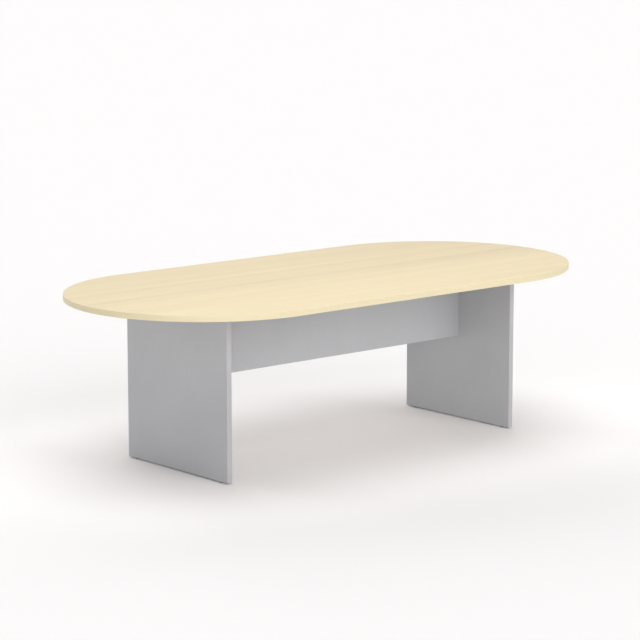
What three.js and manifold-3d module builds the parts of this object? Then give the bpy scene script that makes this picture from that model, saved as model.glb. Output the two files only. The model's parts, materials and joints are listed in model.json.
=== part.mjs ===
// Conference table: a racetrack top on two panel legs, with a modesty panel between the legs.
// Millimetres, +Z up. The origin is on the floor under the middle of the top, +X runs along the
// length and -Y is the front. The panels are edge-banded laminated board. Cam fittings and dowels
// hold them together, and each leg stands on two feet that screw in and out.
import * as THREE from "three";
import { mergeVertices } from "three/addons/utils/BufferGeometryUtils.js";
import Module from "manifold-3d";

const wasm = await Module();
wasm.setup();

// Panels and their edge bands
const TABLE_HEIGHT = 740;
const TOP_LENGTH = 2500;
const TOP_WIDTH = 1200;
const TOP_THICKNESS = 25;
const TOP_BAND = 2;
const TOP_BAND_ROUND = 1.5;
const GLUE_LINE = 0.2;
const LEG_SPAN = 1640;
const LEG_DEPTH = 670;
const LEG_THICKNESS = 25;
const LEG_BAND = 2;
const LEG_BAND_ROUND = 1.5;
const LEG_BOTTOM_BAND = 1;
const FLOOR_GAP = 5;
const MODESTY_HEIGHT = 335;
const MODESTY_THICKNESS = 18;
const MODESTY_BAND = 1;

// Cam fitting: a round cam let into a panel's face pulls on the head of a bolt in the next panel
const CAM_RADIUS = 7.5;
const CAM_HEIGHT = 12.5;
const CAM_SETBACK = 34;
const CAM_AXIS_DEPTH = 9;
const CAM_RECESS = 0.2;
const CAM_PLAY = 0.2;
const CAM_CROSS_LENGTH = 8;
const CAM_CROSS_WIDTH = 1.6;
const CAM_CROSS_DEPTH = 2.4;
const BOLT_THREAD_RADIUS = 2.5;
const BOLT_THREAD_LENGTH = 11;
const BOLT_SHANK_RADIUS = 3.5;
const BOLT_NECK_RADIUS = 2.2;
const BOLT_NECK_LENGTH = 6;
const BOLT_HEAD_RADIUS = 3.2;
const BOLT_HEAD_LENGTH = 3.5;
const BOLT_HEAD_PAST_CAM = 1;
const BOLT_PLAY = 0.4;
const THREAD_PLAY = 0.2;

// Where the cam fittings and dowels sit along the edges
const LEG_CAM_INSET = 60;
const MODESTY_END_CAM_INSET = 64;
const MODESTY_TOP_CAM_INSET = 300;
const DOWEL_OFFSET = 32;
const DOWEL_RADIUS = 4;
const DOWEL_IN_FACE = 12;
const DOWEL_IN_EDGE = 18;
const DOWEL_CHAMFER = 1;
const DOWEL_PLAY = 0.2;
const DOWEL_END_ROOM = 1;

// Levelling foot: a stud turns in a fixed insert and swivels in a round pad
const FOOT_INSET = 50;
const PAD_RADIUS = 11;
const PAD_CHAMFER = 1;
const PAD_FLOOR = 1.2;
const STUD_RADIUS = 4;
const STUD_LENGTH = 36;
const STUD_HEAD_RADIUS = 5.2;
const STUD_HEAD_HEIGHT = 1.5;
const STUD_TIP = 1;
const HEX_ACROSS_FLATS = 13;
const HEX_HEIGHT = 3;
const HEX_ROOM = 0.8;
const INSERT_RADIUS = 6;
const INSERT_LENGTH = 20;
const FOOT_PLAY = 0.3;

// Facets of round pieces
const END_FACETS = 36;
const ROUND_FACETS = 20;
const SMALL_FACETS = 12;
const BAND_FACETS = 2;

// Places worked out from the sizes above
const UNDERSIDE = TABLE_HEIGHT - TOP_THICKNESS;
const LEG_INNER = LEG_SPAN / 2 - LEG_THICKNESS;
const LEG_MIDDLE = LEG_SPAN / 2 - LEG_THICKNESS / 2;
const LEG_BOARD_BOTTOM = FLOOR_GAP + LEG_BOTTOM_BAND;
const MODESTY_BOTTOM = UNDERSIDE - MODESTY_HEIGHT;
const OVERCUT = 1;
const SIDES = { left: -1, right: 1 };
const ENDS = { front: -1, rear: 1 };

const X_AXIS = new THREE.Vector3(1, 0, 0);
const Y_AXIS = new THREE.Vector3(0, 1, 0);
const Z_AXIS = new THREE.Vector3(0, 0, 1);

// Finishes
const MAPLE = finish(0xf1e0bf, 0.45, 0);
const MAPLE_BAND = finish(0xeedcb6, 0.5, 0);
const SILVER = finish(0xb4b4b6, 0.55, 0);
const SILVER_BAND = finish(0xbcbcbe, 0.5, 0);
const ZINC = finish(0xb9bcc0, 0.35, 1);
const STEEL = finish(0xa9adb2, 0.3, 1);
const BEECH = finish(0xd8b98c, 0.7, 0);
const GREY_NYLON = finish(0x818184, 0.6, 0);

function finish(color, roughness, metalness) {
  return new THREE.MeshStandardMaterial({ color, roughness, metalness });
}

// Joining and cutting of closed geometries
function solidOf(geometry) {
  const bare = geometry.index ? geometry.toNonIndexed() : geometry.clone();
  bare.deleteAttribute("normal");
  bare.deleteAttribute("uv");
  const merged = mergeVertices(bare, 1e-4);
  const vertProperties = new Float32Array(merged.attributes.position.array);
  const triVerts = new Uint32Array(merged.index.array);
  return new wasm.Manifold(new wasm.Mesh({ numProp: 3, vertProperties, triVerts }));
}

function geometryOf(solid) {
  const mesh = solid.getMesh();
  const geometry = new THREE.BufferGeometry();
  geometry.setAttribute("position", new THREE.BufferAttribute(mesh.vertProperties, 3));
  geometry.setIndex(new THREE.BufferAttribute(mesh.triVerts, 1));
  geometry.computeVertexNormals();
  return geometry;
}

function cut(geometry, cutters) {
  let solid = solidOf(geometry);
  for (const cutter of cutters) solid = solid.subtract(solidOf(cutter));
  return geometryOf(solid);
}

function join(first, second) {
  return geometryOf(solidOf(first).add(solidOf(second)));
}

// Shapes that are used again and again
function box(low, high) {
  const size = high.map((value, axis) => value - low[axis]);
  const middle = high.map((value, axis) => (value + low[axis]) / 2);
  return new THREE.BoxGeometry(...size).translate(...middle);
}

function cylinderZ(radius, bottom, top, facets) {
  const geometry = new THREE.CylinderGeometry(radius, radius, top - bottom, facets);
  return geometry.rotateX(Math.PI / 2).translate(0, 0, (top + bottom) / 2);
}

function cylinderX(radius, start, end, facets) {
  return cylinderZ(radius, start, end, facets).rotateY(Math.PI / 2);
}

function turnedZ(profile, facets) {
  const points = profile.map(([radius, height]) => new THREE.Vector2(radius, height));
  return new THREE.LatheGeometry(points, facets).rotateX(Math.PI / 2);
}

function turnedX(profile, facets) {
  return turnedZ(profile, facets).rotateY(Math.PI / 2);
}

function racetrack(length, width) {
  const radius = width / 2;
  const centre = length / 2 - radius;
  const shape = new THREE.Shape();
  shape.absarc(centre, 0, radius, -Math.PI / 2, Math.PI / 2, false);
  shape.absarc(-centre, 0, radius, Math.PI / 2, (3 * Math.PI) / 2, false);
  shape.closePath();
  return shape;
}

function named(name, geometry, material) {
  const mesh = new THREE.Mesh(geometry, material);
  mesh.name = name;
  return mesh;
}

// A joint's frame: its origin is on the face where two panels meet, its +X runs into the panel that
// meets the other with its edge, and its +Z points out of the face that is worked from.
function jointFrame(origin, intoEdgePanel, outOfFace) {
  const sideways = new THREE.Vector3().crossVectors(outOfFace, intoEdgePanel);
  return new THREE.Matrix4().makeBasis(intoEdgePanel, sideways, outOfFace).setPosition(origin);
}

function placed(geometry, frame) {
  return geometry.clone().applyMatrix4(frame);
}

// The bolt lies on the joint's X axis, with its thread in the panel on the -X side
function camBoltGeometry() {
  const headEnd = CAM_SETBACK + BOLT_HEAD_PAST_CAM;
  const headStart = headEnd - BOLT_HEAD_LENGTH;
  const neckStart = headStart - BOLT_NECK_LENGTH;
  const profile = [
    [0, -BOLT_THREAD_LENGTH],
    [BOLT_THREAD_RADIUS, -BOLT_THREAD_LENGTH],
    [BOLT_THREAD_RADIUS, 0],
    [BOLT_SHANK_RADIUS, 0],
    [BOLT_SHANK_RADIUS, neckStart],
    [BOLT_NECK_RADIUS, neckStart],
    [BOLT_NECK_RADIUS, headStart],
    [BOLT_HEAD_RADIUS, headStart],
    [BOLT_HEAD_RADIUS, headEnd],
    [0, headEnd],
  ];
  return turnedX(profile, SMALL_FACETS);
}

// The cam's axis is parallel to the joint's Z axis. A round core clears the bolt's head at every
// angle, half of the wall is slotted for the bolt's neck, and a wider mouth lets the head out when
// the cam has made half a turn.
function camGeometry() {
  const neckRoom = BOLT_NECK_RADIUS + BOLT_PLAY;
  const headRoom = BOLT_HEAD_RADIUS + BOLT_PLAY;
  const headBack = BOLT_HEAD_LENGTH - BOLT_HEAD_PAST_CAM;
  const coreRadius = Math.hypot(headBack, BOLT_HEAD_RADIUS) + BOLT_PLAY;
  const top = CAM_AXIS_DEPTH - CAM_RECESS;
  const bottom = top - CAM_HEIGHT;
  const past = CAM_RADIUS + OVERCUT;
  const half = { long: CAM_CROSS_LENGTH / 2, wide: CAM_CROSS_WIDTH / 2 };
  const crossFloor = top - CAM_CROSS_DEPTH;
  const core = cylinderZ(coreRadius, bottom - OVERCUT, headRoom, SMALL_FACETS);
  const track = box([-past, -neckRoom, -neckRoom], [past, past, neckRoom]);
  const mouth = box([0, -headRoom, bottom - OVERCUT], [past, headRoom, headRoom]);
  const crossAlong = box([-half.long, -half.wide, crossFloor], [half.long, half.wide, top + OVERCUT]);
  const crossOver = box([-half.wide, -half.long, crossFloor], [half.wide, half.long, top + OVERCUT]);
  const body = cylinderZ(CAM_RADIUS, bottom, top, ROUND_FACETS);
  return cut(body, [core, track, mouth, crossAlong, crossOver]).translate(CAM_SETBACK, 0, 0);
}

function camPanelCutters() {
  const pocketRadius = CAM_RADIUS + CAM_PLAY;
  const pocketFloor = CAM_AXIS_DEPTH - CAM_RECESS - CAM_HEIGHT - BOLT_PLAY;
  const pocket = cylinderZ(pocketRadius, pocketFloor, CAM_AXIS_DEPTH + OVERCUT, ROUND_FACETS);
  const bore = cylinderX(BOLT_SHANK_RADIUS + BOLT_PLAY, -OVERCUT, CAM_SETBACK, SMALL_FACETS);
  return [pocket.translate(CAM_SETBACK, 0, 0), bore];
}

function boltPilotCutter() {
  const start = -BOLT_THREAD_LENGTH - BOLT_PLAY;
  return cylinderX(BOLT_THREAD_RADIUS + THREAD_PLAY, start, OVERCUT, SMALL_FACETS);
}

// A dowel lies on its joint's X axis, deeper in the edge than in the face
function dowelGeometry() {
  const profile = [
    [0, -DOWEL_IN_FACE],
    [DOWEL_RADIUS - DOWEL_CHAMFER, -DOWEL_IN_FACE],
    [DOWEL_RADIUS, -DOWEL_IN_FACE + DOWEL_CHAMFER],
    [DOWEL_RADIUS, DOWEL_IN_EDGE - DOWEL_CHAMFER],
    [DOWEL_RADIUS - DOWEL_CHAMFER, DOWEL_IN_EDGE],
    [0, DOWEL_IN_EDGE],
  ];
  return turnedX(profile, SMALL_FACETS);
}

function dowelCutters() {
  const radius = DOWEL_RADIUS + DOWEL_PLAY;
  const inEdge = cylinderX(radius, -OVERCUT, DOWEL_IN_EDGE + DOWEL_END_ROOM, SMALL_FACETS);
  const inFace = cylinderX(radius, -DOWEL_IN_FACE - DOWEL_END_ROOM, OVERCUT, SMALL_FACETS);
  return { inEdge, inFace };
}

// Every panel joint of the table, with the panel that holds the cam or the dowel's longer end
const joints = [];

function addJoint(kind, name, edgePanel, facePanel, origin, intoEdgePanel, outOfFace) {
  const frame = jointFrame(new THREE.Vector3(...origin), intoEdgePanel, outOfFace);
  joints.push({ kind, name, edgePanel, facePanel, frame });
}

const DOWN = Z_AXIS.clone().negate();
for (const [side, sign] of Object.entries(SIDES)) {
  const inward = X_AXIS.clone().multiplyScalar(-sign);
  const leg = `${side}_leg`;

  // The modesty panel's ends meet the legs' inner faces, and their cams open on its rear face
  const boltY = MODESTY_THICKNESS / 2 - CAM_AXIS_DEPTH;
  const levels = {
    upper: [UNDERSIDE - MODESTY_END_CAM_INSET, -1],
    lower: [MODESTY_BOTTOM + MODESTY_END_CAM_INSET, 1],
  };
  for (const [level, [z, towardsMiddle]] of Object.entries(levels)) {
    const camAt = [sign * LEG_INNER, boltY, z];
    const dowelAt = [sign * LEG_INNER, 0, z + towardsMiddle * DOWEL_OFFSET];
    addJoint("cam", `modesty_${side}_${level}`, "modesty", leg, camAt, inward, Y_AXIS);
    addJoint("dowel", `modesty_${side}_${level}`, "modesty", leg, dowelAt, inward, Y_AXIS);
  }

  // The legs' upper edges meet the top, and their cams open on the inner faces
  for (const [end, endSign] of Object.entries(ENDS)) {
    const camY = endSign * (LEG_DEPTH / 2 - LEG_CAM_INSET);
    const dowelY = camY - endSign * DOWEL_OFFSET;
    const camAt = [sign * (LEG_INNER + CAM_AXIS_DEPTH), camY, UNDERSIDE];
    const dowelAt = [sign * LEG_MIDDLE, dowelY, UNDERSIDE];
    addJoint("cam", `${leg}_${end}`, leg, "top", camAt, DOWN, inward);
    addJoint("dowel", `${leg}_${end}`, leg, "top", dowelAt, DOWN, inward);
  }

  // The modesty panel's upper edge is pulled up to the top as well
  const alongX = sign * (LEG_INNER - MODESTY_TOP_CAM_INSET);
  addJoint("cam", `modesty_top_${side}`, "modesty", "top", [alongX, boltY, UNDERSIDE], DOWN, Y_AXIS);
}

function cuttersFor(panel) {
  const cutters = [];
  for (const { kind, edgePanel, facePanel, frame } of joints) {
    const isCam = kind === "cam";
    const inEdge = isCam ? camPanelCutters() : [dowelCutters().inEdge];
    const inFace = isCam ? [boltPilotCutter()] : [dowelCutters().inFace];
    if (edgePanel === panel) cutters.push(...inEdge.map((cutter) => placed(cutter, frame)));
    if (facePanel === panel) cutters.push(...inFace.map((cutter) => placed(cutter, frame)));
  }
  return cutters;
}

function fittings() {
  const group = new THREE.Group();
  const cam = camGeometry();
  const bolt = camBoltGeometry();
  const dowel = dowelGeometry();
  for (const { kind, name, frame } of joints) {
    const pieces =
      kind === "cam"
        ? [named(`${name}_cam`, cam, ZINC), named(`${name}_cam_bolt`, bolt, STEEL)]
        : [named(`${name}_dowel`, dowel, BEECH)];
    for (const piece of pieces) piece.applyMatrix4(frame);
    group.add(...pieces);
  }
  return group;
}

// The top: a board with a band bent round its racetrack outline
function top() {
  const round = Math.min(TOP_BAND_ROUND, TOP_BAND, TOP_THICKNESS / 2);
  const inset = 2 * TOP_BAND;
  const boardInset = inset + 2 * GLUE_LINE;
  const boardOutline = racetrack(TOP_LENGTH - boardInset, TOP_WIDTH - boardInset);
  const flat = { depth: TOP_THICKNESS, bevelEnabled: false, curveSegments: END_FACETS };
  const board = new THREE.ExtrudeGeometry(boardOutline, flat).translate(0, 0, UNDERSIDE);

  const rounded = {
    depth: TOP_THICKNESS - 2 * round,
    bevelThickness: round,
    bevelSize: round,
    bevelOffset: -round,
    bevelSegments: BAND_FACETS,
    curveSegments: END_FACETS,
  };
  const outside = new THREE.ExtrudeGeometry(racetrack(TOP_LENGTH, TOP_WIDTH), rounded);
  outside.translate(0, 0, UNDERSIDE + round);
  const through = { ...flat, depth: TOP_THICKNESS + 2 * OVERCUT };
  const insideOutline = racetrack(TOP_LENGTH - inset, TOP_WIDTH - inset);
  const inside = new THREE.ExtrudeGeometry(insideOutline, through);
  inside.translate(0, 0, UNDERSIDE - OVERCUT);

  const group = new THREE.Group();
  group.add(named("top_panel", cut(board, cuttersFor("top")), MAPLE));
  group.add(named("top_edge_band", cut(outside, [inside]), MAPLE_BAND));
  return group;
}

// An upright band, glued to the edge at y = 0, with the two outer corners rounded
function uprightBand(bottom, height) {
  const round = Math.min(LEG_BAND_ROUND, LEG_BAND, LEG_THICKNESS / 2);
  const half = LEG_THICKNESS / 2;
  const shape = new THREE.Shape();
  shape.moveTo(-half, 0);
  shape.lineTo(-half, -LEG_BAND + round);
  shape.absarc(-half + round, -LEG_BAND + round, round, Math.PI, 1.5 * Math.PI, false);
  shape.lineTo(half - round, -LEG_BAND);
  shape.absarc(half - round, -LEG_BAND + round, round, 1.5 * Math.PI, 2 * Math.PI, false);
  shape.lineTo(half, 0);
  shape.closePath();
  const depth = { depth: height, bevelEnabled: false, curveSegments: BAND_FACETS };
  return new THREE.ExtrudeGeometry(shape, depth).translate(0, 0, bottom);
}

// Heights in the levelling foot, from the floor up
const PAD_TOP = FLOOR_GAP - FOOT_PLAY;
const STUD_BOTTOM = PAD_FLOOR + FOOT_PLAY;
const STUD_TOP = STUD_BOTTOM + STUD_LENGTH;
const POCKET_TOP = STUD_BOTTOM + STUD_HEAD_HEIGHT + FOOT_PLAY;
const HEX_BOTTOM = FLOOR_GAP;
const HEX_RADIUS = HEX_ACROSS_FLATS / Math.sqrt(3);
const INSERT_BOTTOM = HEX_BOTTOM + HEX_HEIGHT + HEX_ROOM;
const STUD_ROOM_TOP = Math.max(STUD_TOP, INSERT_BOTTOM + INSERT_LENGTH) + OVERCUT;
const FOOT_Y = LEG_DEPTH / 2 - FOOT_INSET;

function footCutters() {
  const hexRoom = HEX_RADIUS + HEX_ROOM;
  const insertTop = INSERT_BOTTOM + INSERT_LENGTH + FOOT_PLAY;
  return [
    cylinderZ(hexRoom, FLOOR_GAP - OVERCUT, INSERT_BOTTOM, ROUND_FACETS),
    cylinderZ(INSERT_RADIUS + FOOT_PLAY, INSERT_BOTTOM - OVERCUT, insertTop, ROUND_FACETS),
    cylinderZ(STUD_RADIUS + FOOT_PLAY, INSERT_BOTTOM, STUD_ROOM_TOP, SMALL_FACETS),
  ];
}

function footPad() {
  const profile = [
    [0, 0],
    [PAD_RADIUS - PAD_CHAMFER, 0],
    [PAD_RADIUS, PAD_CHAMFER],
    [PAD_RADIUS, PAD_TOP],
    [STUD_RADIUS + FOOT_PLAY, PAD_TOP],
    [STUD_RADIUS + FOOT_PLAY, POCKET_TOP],
    [STUD_HEAD_RADIUS + FOOT_PLAY, POCKET_TOP],
    [STUD_HEAD_RADIUS + FOOT_PLAY, PAD_FLOOR],
    [0, PAD_FLOOR],
  ];
  return turnedZ(profile, ROUND_FACETS);
}

function footStud() {
  const headTop = STUD_BOTTOM + STUD_HEAD_HEIGHT;
  const profile = [
    [0, STUD_BOTTOM],
    [STUD_HEAD_RADIUS, STUD_BOTTOM],
    [STUD_HEAD_RADIUS, headTop],
    [STUD_RADIUS, headTop],
    [STUD_RADIUS, STUD_TOP - STUD_TIP],
    [STUD_RADIUS - STUD_TIP, STUD_TOP],
    [0, STUD_TOP],
  ];
  const hexagon = cylinderZ(HEX_RADIUS, HEX_BOTTOM, HEX_BOTTOM + HEX_HEIGHT, 6);
  return join(turnedZ(profile, SMALL_FACETS), hexagon);
}

function footInsert() {
  const bore = STUD_RADIUS + FOOT_PLAY;
  const top = INSERT_BOTTOM + INSERT_LENGTH;
  const profile = [
    [bore, INSERT_BOTTOM],
    [INSERT_RADIUS, INSERT_BOTTOM],
    [INSERT_RADIUS, top],
    [bore, top],
    [bore, INSERT_BOTTOM],
  ];
  return turnedZ(profile, SMALL_FACETS);
}

// A leg is modelled about its own middle plane, and its group stands it at its end of the table
function leg(side, sign) {
  const group = new THREE.Group();
  group.position.x = sign * LEG_MIDDLE;
  const half = LEG_THICKNESS / 2;
  const boardY = LEG_DEPTH / 2 - LEG_BAND;
  const height = UNDERSIDE - FLOOR_GAP;

  const feet = Object.values(ENDS).map((end) => end * FOOT_Y);
  const footHoles = feet.flatMap((y) => footCutters().map((cutter) => cutter.translate(0, y, 0)));
  const fittingHoles = cuttersFor(`${side}_leg`).map((cutter) => cutter.translate(-group.position.x, 0, 0));
  const board = box([-half, -boardY, LEG_BOARD_BOTTOM], [half, boardY, UNDERSIDE]);
  const strip = box([-half, -boardY, FLOOR_GAP], [half, boardY, LEG_BOARD_BOTTOM]);
  group.add(named(`${side}_leg_panel`, cut(board, [...footHoles, ...fittingHoles]), SILVER));
  group.add(named(`${side}_leg_bottom_edge_band`, cut(strip, footHoles), SILVER_BAND));

  for (const [end, endSign] of Object.entries(ENDS)) {
    const band = named(`${side}_leg_${end}_edge_band`, uprightBand(FLOOR_GAP, height), SILVER_BAND);
    band.position.y = endSign * boardY;
    band.rotation.z = endSign > 0 ? Math.PI : 0;
    group.add(band);

    const foot = new THREE.Group();
    foot.position.y = endSign * FOOT_Y;
    foot.add(named(`${side}_${end}_foot_pad`, footPad(), GREY_NYLON));
    foot.add(named(`${side}_${end}_foot_stud`, footStud(), STEEL));
    foot.add(named(`${side}_${end}_foot_insert`, footInsert(), ZINC));
    group.add(foot);
  }
  return group;
}

// The modesty panel hangs under the middle of the top and spans the two legs
function modesty() {
  const half = MODESTY_THICKNESS / 2;
  const boardBottom = MODESTY_BOTTOM + MODESTY_BAND;
  const board = box([-LEG_INNER, -half, boardBottom], [LEG_INNER, half, UNDERSIDE]);
  const strip = box([-LEG_INNER, -half, MODESTY_BOTTOM], [LEG_INNER, half, boardBottom]);
  const group = new THREE.Group();
  group.add(named("modesty_panel", cut(board, cuttersFor("modesty")), SILVER));
  group.add(named("modesty_bottom_edge_band", strip, SILVER_BAND));
  return group;
}

const table = new THREE.Group();
table.name = "conference_table";
table.add(top(), modesty(), fittings());
for (const [side, sign] of Object.entries(SIDES)) table.add(leg(side, sign));

export default table;
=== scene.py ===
# %% [markdown]
# # A racetrack conference table
#
# The table is a pale maple top with half-round ends, two silver-grey panel legs, and a modesty panel that
# braces the legs under the middle of the top. Cam fittings hold the panels together, and the legs stand
# on screw feet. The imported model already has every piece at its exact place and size, so this lesson
# models the finer surface of each piece over it, gives it a finish, and lights it like a product picture.

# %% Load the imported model
import json
import math

import bmesh
import bpy
from mathutils import Matrix, Vector


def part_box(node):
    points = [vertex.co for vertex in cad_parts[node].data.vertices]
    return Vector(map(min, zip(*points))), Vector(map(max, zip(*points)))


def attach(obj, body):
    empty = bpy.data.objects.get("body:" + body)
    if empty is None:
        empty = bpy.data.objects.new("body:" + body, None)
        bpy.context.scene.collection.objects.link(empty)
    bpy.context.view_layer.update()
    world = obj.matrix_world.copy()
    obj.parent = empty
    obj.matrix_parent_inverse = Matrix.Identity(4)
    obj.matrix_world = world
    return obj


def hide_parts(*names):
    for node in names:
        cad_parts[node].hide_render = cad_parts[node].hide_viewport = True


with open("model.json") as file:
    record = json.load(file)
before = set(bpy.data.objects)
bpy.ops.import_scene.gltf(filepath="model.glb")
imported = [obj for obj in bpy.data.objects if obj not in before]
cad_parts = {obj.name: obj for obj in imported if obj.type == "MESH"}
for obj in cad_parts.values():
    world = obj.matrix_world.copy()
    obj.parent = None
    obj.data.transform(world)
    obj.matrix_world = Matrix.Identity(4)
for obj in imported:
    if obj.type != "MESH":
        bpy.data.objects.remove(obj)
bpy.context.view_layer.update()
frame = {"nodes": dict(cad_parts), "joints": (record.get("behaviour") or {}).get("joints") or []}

# %% [markdown]
# ## The camera
#
# The picture was taken with a long lens, from the front left and a little above the top. The place, the
# heading and the tilt below were worked out from the edges of the table, so the camera is set in numbers
# and not by eye. A long lens keeps the two ends of the table nearly the same size.

# %% Set up the camera
CAMERA_PLACE = (-7.1850, -8.2457, 2.4758)
CAMERA_HEADING = math.radians(40.946)
CAMERA_TILT = math.radians(10.023)
FOCAL_PIXELS = 2559.2
PICTURE_PIXELS = 640
SENSOR_MM = 36.0
SIGHT_METRES = 500

camera_data = bpy.data.cameras.new("camera")
camera_data.sensor_width = SENSOR_MM
camera_data.lens = SENSOR_MM * FOCAL_PIXELS / PICTURE_PIXELS
camera_data.clip_end = SIGHT_METRES
camera = bpy.data.objects.new("camera", camera_data)
camera.location = CAMERA_PLACE
camera.rotation_euler = (math.pi / 2 - CAMERA_TILT, 0, -CAMERA_HEADING)
bpy.context.scene.collection.objects.link(camera)
bpy.context.scene.camera = camera
bpy.context.scene.view_settings.view_transform = "Standard"
print("lens in millimetres:", round(camera_data.lens, 1))

# %% [markdown]
# ## Finishes from noise
#
# Every finish is a Principled shader whose colour, roughness and bump come from noise. A photograph of
# the material could be wrapped round each piece instead, but noise has no seams and stays sharp however
# close one looks. Its cells have real sizes here: a cell 700 mm long and 16 mm wide makes wood grain,
# and one of about 1 mm each way makes a speckle. What is the same all over a surface is set on the
# shader itself.

# %% Start a finish and add nodes to it
def new_finish(name, roughness, metallic=0.0, specular=0.5):
    material = bpy.data.materials.new(name)
    material.use_nodes = True
    shader = material.node_tree.nodes["Principled BSDF"]
    shader.inputs["Roughness"].default_value = roughness
    shader.inputs["Metallic"].default_value = metallic
    shader.inputs["Specular IOR Level"].default_value = specular
    return material


def add_node(owner, kind, **inputs):
    """Adds a node to a finish or to the world, and plugs in or sets the inputs that are named."""
    node = owner.node_tree.nodes.new(kind)
    for name, value in inputs.items():
        socket = node.inputs[name.replace("_", " ")]
        if isinstance(value, bpy.types.NodeSocket):
            owner.node_tree.links.new(value, socket)
        else:
            socket.default_value = value
    return node


def plug(material, output, input_name):
    shader = material.node_tree.nodes["Principled BSDF"]
    material.node_tree.links.new(output, shader.inputs[input_name])


# %% Make noise in cells of a given size
MM = 0.001


def coordinates_of(material, kind="Object"):
    return add_node(material, "ShaderNodeTexCoord").outputs[kind]


def grain_noise(material, coordinates, cell, detail=2.0, roughness=0.5, distortion=0.0):
    scale = [1 / length for length in cell]
    mapping = add_node(material, "ShaderNodeMapping", Vector=coordinates, Scale=scale)
    noise = add_node(
        material,
        "ShaderNodeTexNoise",
        Vector=mapping.outputs["Vector"],
        Scale=1.0,
        Detail=detail,
        Roughness=roughness,
        Distortion=distortion,
    )
    return noise.outputs["Fac"]


print("a cell of one millimetre is", MM, "in Blender")

# %% Turn noise into shades, gloss and bump
# Nearly all of the noise lies between these two values.
NOISE_LOW, NOISE_HIGH = 0.3, 0.7
# A Mix node's sockets for colours have the same names as those for numbers, so they are counted.
COLOUR_A, COLOUR_B, COLOUR_OUT = 6, 7, 2
WHITE = (1.0, 1.0, 1.0)
OPAQUE = 1.0
HALFWAY = 0.5


def ramp(material, factor, stops):
    """A colour ramp from (position, colour) pairs."""
    node = add_node(material, "ShaderNodeValToRGB", Fac=factor)
    elements = node.color_ramp.elements
    while len(elements) < len(stops):
        elements.new(HALFWAY)
    for element, (position, colour) in zip(elements, stops):
        element.position = position
        element.color = (*colour, OPAQUE)
    return node.outputs["Color"]


def shades(material, noise, levels, colour=WHITE):
    """A colour that the noise takes from the first to the second level times itself."""
    ends = zip((NOISE_LOW, NOISE_HIGH), levels)
    return ramp(material, noise, [(place, [level * part for part in colour]) for place, level in ends])


def multiply(material, first, second, amount=1.0):
    """Multiplies two colours; an amount under one lets the second act only in part."""
    node = add_node(material, "ShaderNodeMix", Factor=amount)
    node.data_type = "RGBA"
    node.blend_type = "MULTIPLY"
    material.node_tree.links.new(first, node.inputs[COLOUR_A])
    material.node_tree.links.new(second, node.inputs[COLOUR_B])
    return node.outputs[COLOUR_OUT]


def span(material, noise, low, high):
    """Carries noise over to a number between low and high."""
    node = add_node(material, "ShaderNodeMapRange", Value=noise, To_Min=low, To_Max=high)
    node.inputs["From Min"].default_value = NOISE_LOW
    node.inputs["From Max"].default_value = NOISE_HIGH
    return node.outputs["Result"]


def vary_roughness(material, noise, roughness, spread):
    """Lets the noise take the roughness down and up by the two ends of the spread."""
    lowest, highest = [roughness + change for change in spread]
    plug(material, span(material, noise, lowest, highest), "Roughness")


def bump(material, height, depth, strength):
    node = add_node(material, "ShaderNodeBump", Height=height, Distance=depth, Strength=strength)
    plug(material, node.outputs["Normal"], "Normal")


print("shades and gloss run over noise from", NOISE_LOW, "to", NOISE_HIGH)

# %% [markdown]
# ## Maple laminate
#
# The top is printed maple grain under a satin wearing layer. Maple is quiet: long soft bands of slightly
# different cream, a figure a finger wide, and fine pores a millimetre across, all running along the
# table. The same grain is on the edge band, where it has to follow the outline, so the finish can read
# either the object's own coordinates or a UV map that is unrolled along the band. The band is plastic,
# and its print is a touch paler than the top's.

# %% The maple finish
MAPLE_TONES = [(0.2, (0.755, 0.627, 0.40)), (0.5, (0.785, 0.66, 0.43)), (0.8, (0.815, 0.694, 0.462))]
BAND_TINT = (0.973, 1.023, 1.051)
GRAIN_BANDS = (2500 * MM, 110 * MM, 110 * MM)
GRAIN_FIGURE = (700 * MM, 16 * MM, 16 * MM)
GRAIN_PORES = (90 * MM, 1.3 * MM, 1.3 * MM)
FIGURE_SHADES = (0.965, 1.025)
PORE_SHADES = (0.94, 1.03)
PORE_DEPTH = 0.02 * MM
MAPLE_ROUGHNESS = 0.5
MAPLE_ROUGHNESS_SPREAD = (-0.05, 0.05)


def maple(name, coordinates_name, tint):
    """Returns the finish, its coordinates and its colour so far, for the streaks and the painted light."""
    material = new_finish(name, MAPLE_ROUGHNESS, specular=0.15)
    coordinates = coordinates_of(material, coordinates_name)
    bands = grain_noise(material, coordinates, GRAIN_BANDS, detail=3, distortion=0.3)
    figure = grain_noise(material, coordinates, GRAIN_FIGURE, detail=4, roughness=0.6, distortion=0.4)
    pores = grain_noise(material, coordinates, GRAIN_PORES, roughness=0.6)
    colour = ramp(material, bands, MAPLE_TONES)
    colour = multiply(material, colour, shades(material, figure, FIGURE_SHADES, tint))
    colour = multiply(material, colour, shades(material, pores, PORE_SHADES))
    plug(material, colour, "Base Color")
    vary_roughness(material, figure, MAPLE_ROUGHNESS, MAPLE_ROUGHNESS_SPREAD)
    bump(material, pores, PORE_DEPTH, strength=0.25)
    return material, coordinates, colour


maple_top_finish, top_coordinates, top_colour = maple("maple laminate", "Object", WHITE)
maple_band_finish = maple("maple edge band", "UV", BAND_TINT)[0]
print("maple finishes:", maple_top_finish.name, "and", maple_band_finish.name)
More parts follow.
